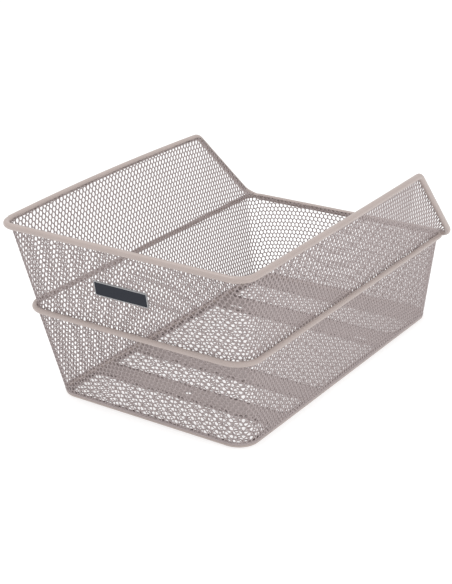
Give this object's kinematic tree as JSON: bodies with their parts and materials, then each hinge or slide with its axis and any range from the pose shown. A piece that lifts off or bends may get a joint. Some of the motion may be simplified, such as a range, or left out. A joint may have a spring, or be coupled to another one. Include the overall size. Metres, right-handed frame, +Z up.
{
  "type": "bicycle rear carrier basket",
  "caption": "Open wire-framed expanded-metal basket with a low far wall, tall flared sides, a mid-height belt wire and a floor with flat cross strips.",
  "frame": {"origin": "middle of the basket's outline, on the plane it rests on", "axes": "+Z up, +Y towards the low wall, -Y towards the tall badge wall, +X to the right seen from the badge wall"},
  "size_m": [0.3136, 0.4704, 0.2146],
  "materials": {
    "coated_wire": "satin warm taupe powder coat on steel wire",
    "coated_mesh": "satin warm taupe powder coat on expanded steel sheet",
    "coated_plate": "satin warm taupe powder coat on flat steel strip",
    "badge_dark": "satin dark slate plastic, plain",
    "badge_light": "satin light grey plastic, plain"
  },
  "bodies": {
    "root": {"rim_wire": "coated_wire", "belt_wire": "coated_wire", "base_wire": "coated_wire", "wall_mesh": "coated_mesh", "far_wall_mesh": "coated_mesh", "floor_mesh_near": "coated_mesh", "floor_mesh_second": "coated_mesh", "floor_mesh_middle": "coated_mesh", "floor_mesh_far": "coated_mesh", "floor_frame": "coated_plate", "floor_strip_near": "coated_plate", "floor_strip_middle": "coated_plate", "floor_strip_far": "coated_plate", "floor_strip_end": "coated_plate", "badge_bezel": "badge_light", "badge_plate": "badge_dark", "badge_backing": "badge_dark", "badge_rivet_left": "badge_dark", "badge_rivet_right": "badge_dark"}
  },
  "joints": []
}
